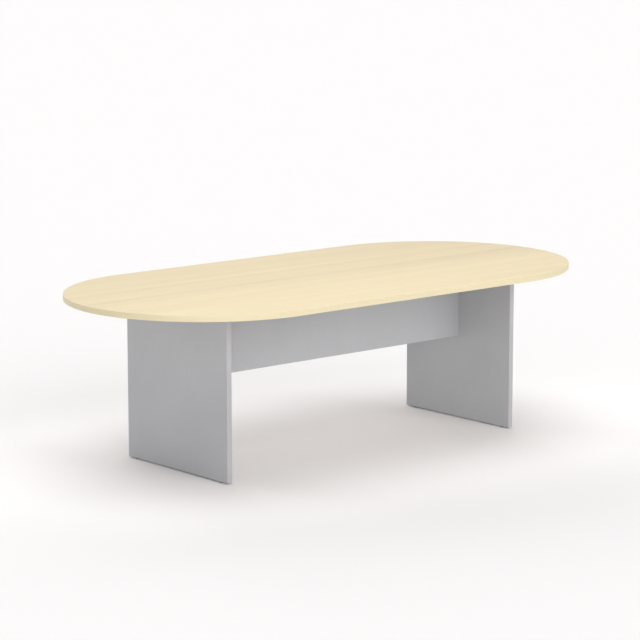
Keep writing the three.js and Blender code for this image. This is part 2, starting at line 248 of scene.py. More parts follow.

# %% [markdown]
# ## Streaks and painted light in the top
#
# The print on the top has a few streaks that can be told apart: a dark line just behind the middle, which
# runs the whole length, a pale one with a dark edge further back, and pale flecks towards the front. Over
# them the top is painted a shade lighter towards the front left and darker towards the rear right: this is
# painted light, the fall of the light over the top. Painting an image would need a picture file, so each
# streak is a narrow ramp over the width instead, and so is the painted light. Noise bends the streaks a
# little and makes them come and go along the table, so that they look grown and not ruled.

# %% Add the streaks and the painted light
STREAKS = {
    "pale flecks": {"middle": -0.34, "reach": 0.03, "change": 0.035},
    "dark line": {"middle": 0.035, "reach": 0.032, "change": -0.095},
    "pale edge of the dark line": {"middle": 0.085, "reach": 0.035, "change": 0.018},
    "dark edge of the pale line": {"middle": 0.215, "reach": 0.03, "change": -0.03},
    "pale line": {"middle": 0.25, "reach": 0.035, "change": 0.05},
}
# Painted light: the top is painted lighter towards the front and darker towards the rear and the right
# end.
PAINTED_LIGHT_ACROSS = [(-0.60, 1.055), (-0.25, 1.035), (-0.05, 0.985), (0.60, 0.92)]
PAINTED_LIGHT_ALONG = [(-1.25, 1.0), (-0.1, 1.0), (1.25, 0.925)]
BEND_CELL = (900 * MM, 250 * MM, 250 * MM)
FADE_CELL = (350 * MM, 150 * MM, 150 * MM)
WANDER = 6 * MM
FAINTEST, STRONGEST = 0.45, 1.0
PLAIN = 1.0


def calculate(owner, operation, first, second):
    """Adds a Math node, whose inputs are counted because they all have the same name."""
    node = add_node(owner, "ShaderNodeMath")
    node.operation = operation
    for output, socket in zip((first, second), node.inputs):
        owner.node_tree.links.new(output, socket)
    return node.outputs["Value"]


def tones_over(material, metres, tones):
    """A ramp over a length in metres, from (place, tone) pairs."""
    first, last = tones[0][0], tones[-1][0]
    node = add_node(material, "ShaderNodeMapRange", Value=metres, From_Min=first, From_Max=last)
    stops = [((place - first) / (last - first), (tone,) * 3) for place, tone in tones]
    return ramp(material, node.outputs["Result"], stops)


def add_streaks_and_painted_light(material, coordinates, colour):
    place = add_node(material, "ShaderNodeSeparateXYZ", Vector=coordinates)
    bend = span(material, grain_noise(material, coordinates, BEND_CELL), -WANDER, WANDER)
    bent = calculate(material, "ADD", place.outputs["Y"], bend)
    come_and_go = span(material, grain_noise(material, coordinates, FADE_CELL), FAINTEST, STRONGEST)
    for streak in STREAKS.values():
        start, end = streak["middle"] - streak["reach"], streak["middle"] + streak["reach"]
        tones = [(start, PLAIN), (streak["middle"], PLAIN + streak["change"]), (end, PLAIN)]
        colour = multiply(material, colour, tones_over(material, bent, tones), come_and_go)
    # Painted light over the streaks: lighter at the front left, darker at the rear right.
    colour = multiply(material, colour, tones_over(material, place.outputs["Y"], PAINTED_LIGHT_ACROSS))
    colour = multiply(material, colour, tones_over(material, place.outputs["X"], PAINTED_LIGHT_ALONG))
    plug(material, colour, "Base Color")


add_streaks_and_painted_light(maple_top_finish, top_coordinates, top_colour)
print("streaks in the top:", list(STREAKS))

# %% [markdown]
# ## The backing sheet
#
# A board that is laminated on one side only would warp, so its underside has a plain backing sheet. The
# grey panels under the top pick up almost no warm light from it, which says that it is off-white. It is
# paper: matt, with a faint mottle and fibres, so two noises are enough.

# %% The backing sheet's finish
BACKING_COLOUR = (0.72, 0.665, 0.575)
MOTTLE_CELL = (30 * MM, 30 * MM, 30 * MM)
FIBRE_CELL = (4 * MM, 0.8 * MM, 4 * MM)
MOTTLE_SHADES = (0.97, 1.03)
FIBRE_SHADES = (0.97, 1.02)
FIBRE_DEPTH = 0.02 * MM


def backing_sheet(name):
    material = new_finish(name, roughness=0.75, specular=0.2)
    coordinates = coordinates_of(material)
    mottle = grain_noise(material, coordinates, MOTTLE_CELL, detail=4, roughness=0.6)
    fibres = grain_noise(material, coordinates, FIBRE_CELL)
    colour = shades(material, mottle, MOTTLE_SHADES, BACKING_COLOUR)
    colour = multiply(material, colour, shades(material, fibres, FIBRE_SHADES))
    plug(material, colour, "Base Color")
    bump(material, fibres, FIBRE_DEPTH, strength=0.3)
    return material


backing_finish = backing_sheet("backing sheet")
print("underside:", backing_finish.name)

# %% [markdown]
# ## Silver-grey laminate
#
# The legs and the modesty panel are a plain silver-grey laminate. Close up it isn't flat: it has a fine
# pearl speckle, a faint cloudiness over a hand's width, and a matt texture that catches the light. One
# flat grey would look like card, so three noises of very different cells are multiplied. The edge bands
# are the same colour in plastic, a little smoother.

# %% The silver-grey finishes
SILVER = (0.478, 0.487, 0.507)
SILVER_EDGE = (0.458, 0.458, 0.469)
SPECKLE_CELL = (1.2 * MM, 1.2 * MM, 1.2 * MM)
BRUSHED_CELL = (4 * MM, 4 * MM, 120 * MM)
CLOUD_CELL = (220 * MM, 220 * MM, 220 * MM)
SPECKLE_SHADES = (0.93, 1.06)
BRUSHED_SHADES = (0.985, 1.012)
CLOUD_SHADES = (0.975, 1.02)
SPECKLE_DEPTH = 0.03 * MM
SILVER_ROUGHNESS_SPREAD = (-0.05, 0.06)


def silver(name, colour, roughness):
    material = new_finish(name, roughness, specular=0.35)
    coordinates = coordinates_of(material)
    speckle = grain_noise(material, coordinates, SPECKLE_CELL, roughness=0.7)
    brushed = grain_noise(material, coordinates, BRUSHED_CELL, detail=3, roughness=0.6)
    cloud = grain_noise(material, coordinates, CLOUD_CELL)
    shade = shades(material, cloud, CLOUD_SHADES, colour)
    shade = multiply(material, shade, shades(material, speckle, SPECKLE_SHADES))
    shade = multiply(material, shade, shades(material, brushed, BRUSHED_SHADES))
    plug(material, shade, "Base Color")
    vary_roughness(material, speckle, roughness, SILVER_ROUGHNESS_SPREAD)
    bump(material, speckle, SPECKLE_DEPTH, strength=0.3)
    return material


silver_finish = silver("silver laminate", SILVER, roughness=0.52)
silver_edge_finish = silver("silver edge band", SILVER_EDGE, roughness=0.45)
print("silver finishes:", silver_finish.name, "and", silver_edge_finish.name)

# %% [markdown]
# ## Metal, bare wood and nylon
#
# The cam fittings are die-cast zinc with a faint cast texture, and the bolts and studs are plated steel
# with a finer one. The dowels are bare beech with short dark flecks, and the core of the boards, which
# only shows inside a drilled hole, is chipboard. The foot pads are moulded grey nylon with a spark-eroded
# texture: no dark spot shows under the legs, so the pads can't be black. All of these are small or
# hidden, so each gets one or two noises of the right size and no more.

# %% The metal finishes
ZINC = (0.60, 0.61, 0.63)
STEEL = (0.55, 0.56, 0.58)
TARNISH_CELL = (12 * MM, 12 * MM, 12 * MM)
TARNISH_SHADES = (0.86, 1.0)
METAL_ROUGHNESS_SPREAD = (-0.08, 0.1)


def metal(name, colour, roughness, cell, depth):
    material = new_finish(name, roughness, metallic=1.0)
    coordinates = coordinates_of(material)
    texture = grain_noise(material, coordinates, (cell, cell, cell), detail=3, roughness=0.6)
    tarnish = grain_noise(material, coordinates, TARNISH_CELL)
    plug(material, shades(material, tarnish, TARNISH_SHADES, colour), "Base Color")
    vary_roughness(material, texture, roughness, METAL_ROUGHNESS_SPREAD)
    bump(material, texture, depth, strength=0.4)
    return material


zinc_finish = metal("die-cast zinc", ZINC, roughness=0.36, cell=0.9 * MM, depth=0.03 * MM)
steel_finish = metal("plated steel", STEEL, roughness=0.28, cell=0.5 * MM, depth=0.015 * MM)
print("metal finishes:", zinc_finish.name, "and", steel_finish.name)

# %% The bare wood finishes
BEECH_TONES = [(0.25, (0.42, 0.25, 0.12)), (0.45, (0.62, 0.43, 0.24)), (0.75, (0.70, 0.52, 0.31))]
CHIP_TONES = [(0.3, (0.34, 0.23, 0.13)), (0.5, (0.55, 0.41, 0.26)), (0.7, (0.70, 0.57, 0.40))]
FLECK_CELL = (1.2 * MM, 1.2 * MM, 6 * MM)
CHIP_CELL = (2.5 * MM, 2.5 * MM, 1 * MM)
WOOD_TEXTURE_DEPTH = 0.05 * MM


def bare_wood(name, tones, cell, distortion):
    material = new_finish(name, roughness=0.7, specular=0.3)
    coordinates = coordinates_of(material)
    flecks = grain_noise(material, coordinates, cell, detail=3, roughness=0.65, distortion=distortion)
    plug(material, ramp(material, flecks, tones), "Base Color")
    bump(material, flecks, WOOD_TEXTURE_DEPTH, strength=0.5)
    return material


beech_finish = bare_wood("bare beech", BEECH_TONES, FLECK_CELL, distortion=0.0)
chipboard_finish = bare_wood("chipboard", CHIP_TONES, CHIP_CELL, distortion=0.8)
print("bare wood finishes:", beech_finish.name, "and", chipboard_finish.name)

# %% The nylon finish
EROSION_CELL = (0.6 * MM, 0.6 * MM, 0.6 * MM)
EROSION_SHADES = (0.19, 0.24)
EROSION_DEPTH = 0.04 * MM
NYLON_ROUGHNESS = 0.55
NYLON_ROUGHNESS_SPREAD = (-0.07, 0.09)


def nylon(name):
    material = new_finish(name, NYLON_ROUGHNESS, specular=0.45)
    erosion = grain_noise(material, coordinates_of(material), EROSION_CELL)
    plug(material, shades(material, erosion, EROSION_SHADES), "Base Color")
    vary_roughness(material, erosion, NYLON_ROUGHNESS, NYLON_ROUGHNESS_SPREAD)
    bump(material, erosion, EROSION_DEPTH, strength=0.5)
    return material


nylon_finish = nylon("grey nylon")
print("finish of the pads:", nylon_finish.name)

# %% [markdown]
# ## The top
#
# The top board is a racetrack: two half circles joined by straight sides. It could be drawn as a curve
# and filled, but a cylinder gives the round end at once. Half of it is cut away, the open side is drawn
# out to the middle of the table, and a mirror makes the other end, so both ends are exactly alike. An
# operator acts on whatever is selected, so each step first lets go of everything, and edges are then
# chosen in code by where they are, as one would click them in edit mode.

# %% Let go, take and settle
def let_go():
    if bpy.context.mode != "OBJECT":
        bpy.ops.object.mode_set(mode="OBJECT")
    bpy.ops.object.select_all(action="DESELECT")


def take(piece):
    let_go()
    piece.select_set(True)
    bpy.context.view_layer.objects.active = piece


def settle(name):
    """Names the object that was just added and applies its place, which leaves it at the origin."""
    bpy.ops.object.transform_apply(location=True, rotation=True, scale=True)
    piece = bpy.context.object
    piece.name = name
    piece.data.name = name
    return piece


let_go()
print(len(frame["nodes"]), "packed pieces let go,", len(bpy.context.selected_objects), "still selected")

# %% Pick edges and apply modifiers
# Two directions count as the same where the cosine between them is over this.
NEARLY_ONE = 0.99


def edit(piece, select_by):
    """Opens a piece in edit mode with nothing selected."""
    take(piece)
    bpy.ops.object.mode_set(mode="EDIT")
    bpy.ops.mesh.select_mode(type=select_by)
    bpy.ops.mesh.select_all(action="DESELECT")
    return bmesh.from_edit_mesh(piece.data)


def pick_edges(piece, wanted, along=None):
    """Selects the edges whose two ends pass the test and, where one is given, that run in a direction."""
    mesh = edit(piece, "EDGE")
    for edge in mesh.edges:
        first, second = (corner.co for corner in edge.verts)
        runs_along = along is None or abs((second - first).normalized().dot(along)) > NEARLY_ONE
        edge.select = runs_along and wanted(first) and wanted(second)
    mesh.select_flush_mode()
    bmesh.update_edit_mesh(piece.data)


def apply_modifier(piece, modifier):
    take(piece)
    bpy.ops.object.modifier_apply(modifier=modifier.name)


print("the same direction means within", round(math.degrees(math.acos(NEARLY_ONE)), 1), "degrees")

# %% Model the top board
ROUND_STEPS = 256
TINY = 0.01 * MM
SAME_PLACE = 0.001 * MM


def racetrack_block(name, radius, straight, bottom, top):
    let_go()
    bpy.ops.mesh.primitive_cylinder_add(
        vertices=ROUND_STEPS,
        radius=radius,
        depth=top - bottom,
        location=(0, 0, (bottom + top) / 2),
        calc_uvs=False,
    )
    piece = settle(name)
    bpy.ops.object.mode_set(mode="EDIT")
    bpy.ops.mesh.select_all(action="SELECT")
    bpy.ops.mesh.bisect(
        plane_co=(0, 0, 0),
        plane_no=(1, 0, 0),
        clear_inner=True,
        threshold=SAME_PLACE,
    )
    bpy.ops.mesh.select_all(action="SELECT")
    bpy.ops.transform.translate(value=(straight, 0, 0))
    pick_edges(piece, lambda corner: abs(corner.x - straight) < TINY)
    bpy.ops.mesh.extrude_region_move(TRANSFORM_OT_translate={"value": (-straight, 0, 0)})
    bpy.ops.object.mode_set(mode="OBJECT")
    mirror = piece.modifiers.new("other end", "MIRROR")
    mirror.merge_threshold = SAME_PLACE
    apply_modifier(piece, mirror)
    return piece


band_low, band_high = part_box("top_edge_band")
board_low, board_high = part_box("top_panel")
TOP_RADIUS = (band_high.y - band_low.y) / 2
TOP_STRAIGHT = band_high.x - TOP_RADIUS
top_board = racetrack_block("top_board", board_high.y, TOP_STRAIGHT, board_low.z, board_high.z)
print("the top is", round(2 * band_high.x, 3), "m long and", round(2 * TOP_RADIUS, 3), "m wide")

# %% [markdown]
# ## The edge band of the top
#
# The band is a strip of plastic, 2 mm thick, glued round the board and trimmed with rounded arrises. It
# could be a profile swept along the outline, but it starts as the same racetrack at full size, so that it
# fits the board. Insetting the two flat faces by the thickness and bridging the two inner outlines leaves
# a ring. A bevel rounds all its outer edges: the arrises, and the upright edges between the facets of the
# ends, which makes the outline smooth. A UV map unrolls the ring, so that the grain can run along it: U
# is the distance round the outline and V is the height, both in metres. The ends of the strip meet at the
# middle of the rear. A finish reads the UV map that is marked for rendering, so the cylinder is made
# without one of its own. A finished piece is shaded smooth, with its normals weighted by area, so that a
# round catches the light and a flat face stays flat.

# %% Finish a piece and hand it over
SHARP_ANGLE = math.radians(35)


def tidy_surface(piece):
    """Merges doubles, turns all faces outwards and smooths what isn't a sharp edge."""
    take(piece)
    bpy.ops.object.mode_set(mode="EDIT")
    bpy.ops.mesh.select_all(action="SELECT")
    bpy.ops.mesh.remove_doubles(threshold=SAME_PLACE)
    bpy.ops.mesh.normals_make_consistent(inside=False)
    bpy.ops.object.mode_set(mode="OBJECT")
    bpy.ops.object.shade_smooth_by_angle(angle=SHARP_ANGLE)


def hand_over(piece, body, finish, node):
    """Gives a finished piece its finish, the body that it moves with and the node that it stands for."""
    tidy_surface(piece)
    flat_faces_first = piece.modifiers.new("flat faces first", "WEIGHTED_NORMAL")
    flat_faces_first.keep_sharp = True
    apply_modifier(piece, flat_faces_first)
    piece.data.materials.clear()
    piece.data.materials.append(finish)
    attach(piece, body)
    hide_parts(node)
    print(piece.name, "has", len(piece.data.polygons), "faces")


print("edges under", round(math.degrees(SHARP_ANGLE)), "degrees are smoothed")

# %% Unroll the outline of the top
def outline_distance(x, y):
    """How far along the outline a point lies, from the middle of the front, for x over zero."""
    if x >= TOP_STRAIGHT:
        return TOP_STRAIGHT + TOP_RADIUS * (math.atan2(y, x - TOP_STRAIGHT) + math.pi / 2)
    return x if y < 0 else 2 * TOP_STRAIGHT - x + math.pi * TOP_RADIUS


def unroll(piece):
    layer = piece.data.uv_layers.new(name="unrolled")
    layer.active_render = True
    for face in piece.data.polygons:
        side = 1 if face.center.x > 0 else -1
        for corner in face.loop_indices:
            place = piece.data.vertices[piece.data.loops[corner].vertex_index].co
            layer.data[corner].uv = (side * outline_distance(side * place.x, place.y), place.z)


print("the outline is", round(2 * outline_distance(0, TOP_RADIUS), 3), "m long")

# %% Model the band round the top
TOP_BAND = 2 * MM
BAND_ROUND = 1.5 * MM
BAND_ROUND_STEPS = 5


def pick_faces(piece, wanted):
    """Selects the faces whose normal passes the test."""
    mesh = edit(piece, "FACE")
    for face in mesh.faces:
        face.select = wanted(face.normal)
    mesh.select_flush_mode()
    bmesh.update_edit_mesh(piece.data)


def round_edges(piece, wanted, radius, steps, along=None):
    pick_edges(piece, wanted, along)
    bpy.ops.mesh.bevel(offset=radius, segments=steps, affect="EDGES")


def on_outer_edge(corner):
    beyond = Vector((max(abs(corner.x) - TOP_STRAIGHT, 0), corner.y))
    on_outside = beyond.length > TOP_RADIUS - TOP_BAND / 2
    return on_outside and min(corner.z - band_low.z, band_high.z - corner.z) < TINY


top_band = racetrack_block("top_band", TOP_RADIUS, TOP_STRAIGHT, band_low.z, band_high.z)
pick_faces(top_band, lambda normal: abs(normal.z) > NEARLY_ONE)
bpy.ops.mesh.inset(thickness=TOP_BAND)
bpy.ops.mesh.delete(type="FACE")
bpy.ops.mesh.select_mode(type="EDGE")
bpy.ops.mesh.select_non_manifold()
bpy.ops.mesh.bridge_edge_loops()
round_edges(top_band, on_outer_edge, BAND_ROUND, BAND_ROUND_STEPS)
hand_over(top_band, "table", maple_band_finish, "top_edge_band")
unroll(top_band)

# %% [markdown]
# ## The legs
#
# Each leg is one board with three edge bands. A board is a block whose arrises are eased by a hair, which
# leaves a fine line where a band or another panel meets it, and it is drilled further down. One block for
# board and bands together would be quicker, but it would lose those lines. The front and rear bands are
# thin blocks whose two outer edges are bevelled, because a trimmed band is never quite sharp, and that
# small round is what catches the light along the leg.

# %% Blocks with eased arrises
BOARD_ARRIS = 0.15 * MM
ARRIS_STEPS = 1
UP = Vector((0, 0, 1))


def block(name, low, high):
    low, high = Vector(low), Vector(high)
    let_go()
    bpy.ops.mesh.primitive_cube_add(size=1, location=(low + high) / 2, scale=high - low)
    return settle(name)


def every_corner(corner):
    return True


def eased_block(name, low, high):
    piece = block(name, low, high)
    round_edges(piece, every_corner, BOARD_ARRIS, ARRIS_STEPS)
    return piece


def upright_band(name, low, high, outward):
    """A band with its outer corners rounded: outward is +1 or -1, the way its outer face looks along Y."""
    band = block(name, low, high)
    outer = high.y if outward > 0 else low.y
    round_edges(band, lambda corner: abs(corner.y - outer) < TINY, BAND_ROUND, BAND_ROUND_STEPS, along=UP)
    return band


print("arrises of boards are eased by", round(BOARD_ARRIS / MM, 2), "mm")

# %% Model the legs
SIDES = ("left", "right")
LEG_ENDS = {"front": -1, "rear": 1}
boards = {"top": top_board}
bottom_bands = {}

for side in SIDES:
    boards[f"{side}_leg"] = eased_block(f"{side}_leg_board", *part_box(f"{side}_leg_panel"))
    bottom_bands[side] = eased_block(f"{side}_leg_bottom_band", *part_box(f"{side}_leg_bottom_edge_band"))
    for end, outward in LEG_ENDS.items():
        node = f"{side}_leg_{end}_edge_band"
        band = upright_band(f"{side}_leg_{end}_band", *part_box(node), outward)
        hand_over(band, "table", silver_edge_finish, node)

# %% [markdown]
# ## The modesty panel
#
# The panel hangs from the top between the legs and stops well above the floor. It is a block with eased
# arrises, as the legs are. Its lower edge has a thin band whose arrises are softened with a file and not
# with a trimmer, so its bevel is smaller than the others.

# %% Model the modesty panel
MODESTY_ROUND = 0.6 * MM


def at_height(height):
    """A test for corners that lie at one height."""
    return lambda corner: abs(corner.z - height) < TINY


boards["modesty"] = eased_block("modesty_board", *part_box("modesty_panel"))
strip_low, strip_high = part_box("modesty_bottom_edge_band")
modesty_band = block("modesty_band", strip_low, strip_high)
round_edges(modesty_band, at_height(strip_low.z), MODESTY_ROUND, BAND_ROUND_STEPS)
hand_over(modesty_band, "table", silver_edge_finish, "modesty_bottom_edge_band")

# %% [markdown]
# ## Drilling the boards
#
# Panel furniture is held together by what is drilled into it. A cam sits in a round pocket in one panel's
# face, and its bolt comes through a bore in that panel's edge from a pilot hole in the next panel. Dowels
# beside the cams keep the panels from shifting. Holes could be left out where nobody looks, but the
# pockets show from the rear. Each hole is cut with a rod and a Boolean, as with a drill, and in the grey
# panels its walls show the chipboard core. The cams' own frames say where: Z points out of the face, and
# X runs from the bolt to the cam.

# %% Work out each cam's frame
cam_joints = [joint for joint in frame["joints"] if joint["name"].endswith("_cam_turn")]


def cam_frame(joint):
    """The cam's place on the panel's face, with Z out of the face and X away from the bolt."""
    place = Vector(joint["pos_m"])
    outward = Vector(joint["axis"])
    bolt_low, bolt_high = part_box(joint["child"] + "_bolt")
    along = place - (bolt_low + bolt_high) / 2
    along = (along - along.project(outward)).normalized()
    turn = Matrix((along, outward.cross(along), outward)).transposed()
    return Matrix.Translation(place) @ turn.to_4x4()


cam_frames = {joint["child"]: cam_frame(joint) for joint in cam_joints}
print(len(cam_frames), "cams")

# %% Rods to drill with
POCKET_SIDES = 64
HOLE_SIDES = 32


def rod(name, start, end, radius, sides=HOLE_SIDES):
    start, end = Vector(start), Vector(end)
    let_go()
    bpy.ops.mesh.primitive_cylinder_add(
        vertices=sides,
        radius=radius,
        depth=(end - start).length,
        location=(start + end) / 2,
        rotation=(end - start).to_track_quat("Z", "Y").to_euler(),
    )
    return settle(name)


def combine(piece, other, operation):
    """Joins or cuts a piece with another one, which is then thrown away."""
    step = piece.modifiers.new(other.name, "BOOLEAN")
    step.operation = operation
    step.solver = "EXACT"
    step.object = other
    apply_modifier(piece, step)
    bpy.data.objects.remove(other)


def drill(piece, cutter):
    combine(piece, cutter, "DIFFERENCE")


print("pockets have", POCKET_SIDES, "sides and other holes", HOLE_SIDES)

# %% Drill the boards for the cams and their bolts
CAM_SETBACK = 34 * MM
BOLT_DEPTH = 9 * MM
POCKET_RADIUS = 7.7 * MM
POCKET_DEPTH = 13.1 * MM
BORE_RADIUS = 3.9 * MM
PILOT_RADIUS = 2.7 * MM
PILOT_DEPTH = 11.4 * MM
OVERCUT = 1 * MM


def panels_at(stem):
    """The panel that holds the cam or most of the dowel, and the panel that it is pulled up to."""
    words = stem.split("_")
    if words[0] != "modesty":
        return boards[f"{words[0]}_leg"], boards["top"]
    if words[1] == "top":
        return boards["modesty"], boards["top"]
    return boards["modesty"], boards[f"{words[1]}_leg"]


def drill_for_cam(edge_board, face_board, place):
    def point(x, z):
        return place @ Vector((x, 0, z))

    def bolt_hole(name, start, end, radius):
        return rod(name, point(start, -BOLT_DEPTH), point(end, -BOLT_DEPTH), radius)

    pocket = rod("pocket", point(0, -POCKET_DEPTH), point(0, OVERCUT), POCKET_RADIUS, POCKET_SIDES)
    drill(edge_board, pocket)
    drill(edge_board, bolt_hole("bore", -CAM_SETBACK - OVERCUT, 0, BORE_RADIUS))
    pilot_end = -CAM_SETBACK - PILOT_DEPTH
    drill(face_board, bolt_hole("pilot", pilot_end, -CAM_SETBACK + OVERCUT, PILOT_RADIUS))


for cam_name, place in cam_frames.items():
    drill_for_cam(*panels_at(cam_name), place)
print("drilled for", len(cam_frames), "cams")

# %% Drill the boards for the dowels
DOWEL_HOLE_RADIUS = 4.2 * MM
DOWEL_END_ROOM = 1 * MM


def dowel_hole(node):
    """A rod along the dowel, a little wider and longer than it."""
    low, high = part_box(node)
    size = high - low
    middle = (low + high) / 2
    reach = Vector([side / 2 + DOWEL_END_ROOM if side == max(size) else 0 for side in size])
    return rod("dowel_hole", middle - reach, middle + reach, DOWEL_HOLE_RADIUS)


dowel_nodes = [name for name in frame["nodes"] if name.endswith("_dowel")]
for node in dowel_nodes:
    for board in panels_at(node):
        drill(board, dowel_hole(node))
print("drilled for", len(dowel_nodes), "dowels")

# %% Drill the legs for the feet
HEX_HOLE_RADIUS = 8.3 * MM
INSERT_PLAY = 0.3 * MM
STUD_HOLE_RADIUS = 4.3 * MM
STUD_HOLE_TOP = 38.5 * MM
FOOT_NAMES = [f"{side}_{end}_foot" for side in SIDES for end in LEG_ENDS]


def upright_rod(name, bottom, top, radius, sides=HOLE_SIDES, axis=Vector((0, 0, 0))):
    return rod(name, axis + bottom * UP, axis + top * UP, radius, sides)


def foot_axis(foot):
    """The point on the floor that the foot's stud turns above."""
    low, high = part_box(f"{foot}_insert")
    middle = (low + high) / 2
    return Vector((middle.x, middle.y, 0))


def foot_hole(foot, bottom, top, radius):
    return upright_rod("foot_hole", bottom, top, radius, POCKET_SIDES, foot_axis(foot))


for foot in FOOT_NAMES:
    side = foot.split("_")[0]
    leg_board = boards[f"{side}_leg"]
    insert_low, insert_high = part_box(f"{foot}_insert")
    band_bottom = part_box(f"{side}_leg_bottom_edge_band")[0].z
    for piece in (leg_board, bottom_bands[side]):
        drill(piece, foot_hole(foot, band_bottom - OVERCUT, insert_low.z, HEX_HOLE_RADIUS))
    insert_radius = (insert_high.x - insert_low.x) / 2 + INSERT_PLAY
    drill(leg_board, foot_hole(foot, insert_low.z - OVERCUT, insert_high.z + INSERT_PLAY, insert_radius))
    drill(leg_board, foot_hole(foot, insert_high.z, STUD_HOLE_TOP, STUD_HOLE_RADIUS))
print("drilled for", len(FOOT_NAMES), "feet")

# %% Finish the boards
def cover(piece, finish, wanted):
    """Gives a second finish to the faces that pass the test."""
    piece.data.materials.append(finish)
    for face in piece.data.polygons:
        face.material_index = 1 if wanted(face) else 0
    print(sum(face.material_index for face in piece.data.polygons), "of them in", finish.name)


def inside(low, high):
    """A test for faces that lie deeper in a board than its eased arrises."""
    skin = Vector((BOARD_ARRIS, BOARD_ARRIS, BOARD_ARRIS))
    start, end = low + skin, high - skin
    return lambda face: all(a < middle < b for a, middle, b in zip(start, face.center, end))


hand_over(boards["top"], "table", maple_top_finish, "top_panel")
cover(boards["top"], backing_finish, lambda face: face.normal.z < -NEARLY_ONE)
for stem in ("modesty", "left_leg", "right_leg"):
    hand_over(boards[stem], "table", silver_finish, f"{stem}_panel")
    cover(boards[stem], chipboard_finish, inside(*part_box(f"{stem}_panel")))
for side, bottom_band in bottom_bands.items():
    hand_over(bottom_band, "table", silver_edge_finish, f"{side}_leg_bottom_edge_band")

# %% [markdown]
# ## The cams
#
# A cam is a die-cast zinc drum, 15 mm across, with a cross for the screwdriver and a small pointer that
# shows which way its mouth faces. Inside, a round core holds the bolt's head, and a track in the wall
# lets the neck pass as the cam turns. All ten are alike, so one cam is modelled at the origin, with the
# panel's face at z = 0, and copied to every frame that was worked out above.

# %% Model the drum of one cam
CAM_RADIUS = 7.5 * MM
CAM_TOP = -0.2 * MM
CAM_BOTTOM = -12.7 * MM
CAM_RIM = 0.5 * MM
CAM_RIM_STEPS = 3
CORE_RADIUS = 4.46 * MM
NECK_ROOM = 2.6 * MM
HEAD_ROOM = 3.6 * MM

cam_model = upright_rod("cam", CAM_BOTTOM, CAM_TOP, CAM_RADIUS, POCKET_SIDES)
round_edges(cam_model, at_height(CAM_TOP), CAM_RIM, CAM_RIM_STEPS)

core_top = -BOLT_DEPTH + HEAD_ROOM
below = CAM_BOTTOM - OVERCUT
past = CAM_RADIUS + OVERCUT
track_low = (-past, -NECK_ROOM, -BOLT_DEPTH - NECK_ROOM)
track_high = (past, past, -BOLT_DEPTH + NECK_ROOM)
drill(cam_model, upright_rod("core", below, core_top, CORE_RADIUS))
drill(cam_model, block("track", track_low, track_high))
drill(cam_model, block("mouth", (0, -HEAD_ROOM, below), (past, HEAD_ROOM, core_top)))
print("the drum has", len(cam_model.data.polygons), "faces")

# %% Cut the cross and the pointer into the cam
CROSS_LENGTH = 8 * MM
CROSS_WIDTH = 1.6 * MM
CROSS_DEPTH = 2.4 * MM
POINTER_CORNERS = 3
POINTER_RADIUS = 1.1 * MM
POINTER_PLACE = 5.5 * MM
POINTER_DEPTH = 0.4 * MM

long, wide = CROSS_LENGTH / 2, CROSS_WIDTH / 2
cross_floor, cross_top = CAM_TOP - CROSS_DEPTH, CAM_TOP + OVERCUT
drill(cam_model, block("cross_along", (-long, -wide, cross_floor), (long, wide, cross_top)))
drill(cam_model, block("cross_over", (-wide, -long, cross_floor), (wide, long, cross_top)))

let_go()
bpy.ops.mesh.primitive_cylinder_add(
    vertices=POINTER_CORNERS,
    radius=POINTER_RADIUS,
    depth=2 * POINTER_DEPTH,
    location=(POINTER_PLACE, 0, CAM_TOP),
    rotation=(0, 0, -math.pi / 2),
)
drill(cam_model, settle("pointer"))
print("one cam has", len(cam_model.data.polygons), "faces")

# %% Copy the cam to every joint
def copy_to(model, name, place):
    take(model)
    bpy.ops.object.duplicate()
    bpy.context.object.matrix_world = place
    return settle(name)


for cam_name, place in cam_frames.items():
    cam = copy_to(cam_model, f"{cam_name}_drum", place)
    hand_over(cam, cam_name, zinc_finish, cam_name)
bpy.data.objects.remove(cam_model)

# %% [markdown]
# ## The feet
#
# Each foot is a nylon pad on a threaded stud, turned by a hexagon with a spanner. The pad is a disc with
# soft edges, a shallow recess underneath and a pocket for the stud's head. The stud has a real thread,
# which shows as the foot is screwed out, so a bump in the finish wouldn't do: one tooth is drawn as two
# edges and the Screw modifier winds it up. The ends are trimmed flat, and the hexagon, the neck and the
# head are welded on.

# %% Model one pad
PAD_RADIUS = 11 * MM
PAD_TOP = 4.7 * MM
PAD_ROUND = 1 * MM
PAD_TOP_ROUND = 0.5 * MM
PAD_ROUND_STEPS = 4
PAD_RIM = 2 * MM
PAD_HOLLOW = 0.4 * MM
PAD_FLOOR = 1.2 * MM
HEAD_POCKET_RADIUS = 5.5 * MM
HEAD_POCKET_TOP = 3.3 * MM
NECK_HOLE_RADIUS = 4.3 * MM

pad_model = upright_rod("pad", 0, PAD_TOP, PAD_RADIUS, POCKET_SIDES)
round_edges(pad_model, at_height(0), PAD_ROUND, PAD_ROUND_STEPS)
round_edges(pad_model, at_height(PAD_TOP), PAD_TOP_ROUND, PAD_ROUND_STEPS)
pick_faces(pad_model, lambda normal: normal.z < -NEARLY_ONE)
bpy.ops.mesh.inset(thickness=PAD_RIM)
bpy.ops.mesh.inset(thickness=PAD_HOLLOW)
bpy.ops.transform.translate(value=(0, 0, PAD_HOLLOW))
drill(pad_model, upright_rod("head_pocket", PAD_FLOOR, HEAD_POCKET_TOP, HEAD_POCKET_RADIUS))
drill(pad_model, upright_rod("neck_hole", PAD_FLOOR + TINY, PAD_TOP + OVERCUT, NECK_HOLE_RADIUS))
print("one pad has", len(pad_model.data.polygons), "faces")

# %% Draw one tooth of the thread
STUD_RADIUS = 4 * MM
THREAD_PITCH = 1.25 * MM
THREAD_DEPTH = 0.75 * MM
THREAD_START = 7.5 * MM
SPARE_TURNS = 2

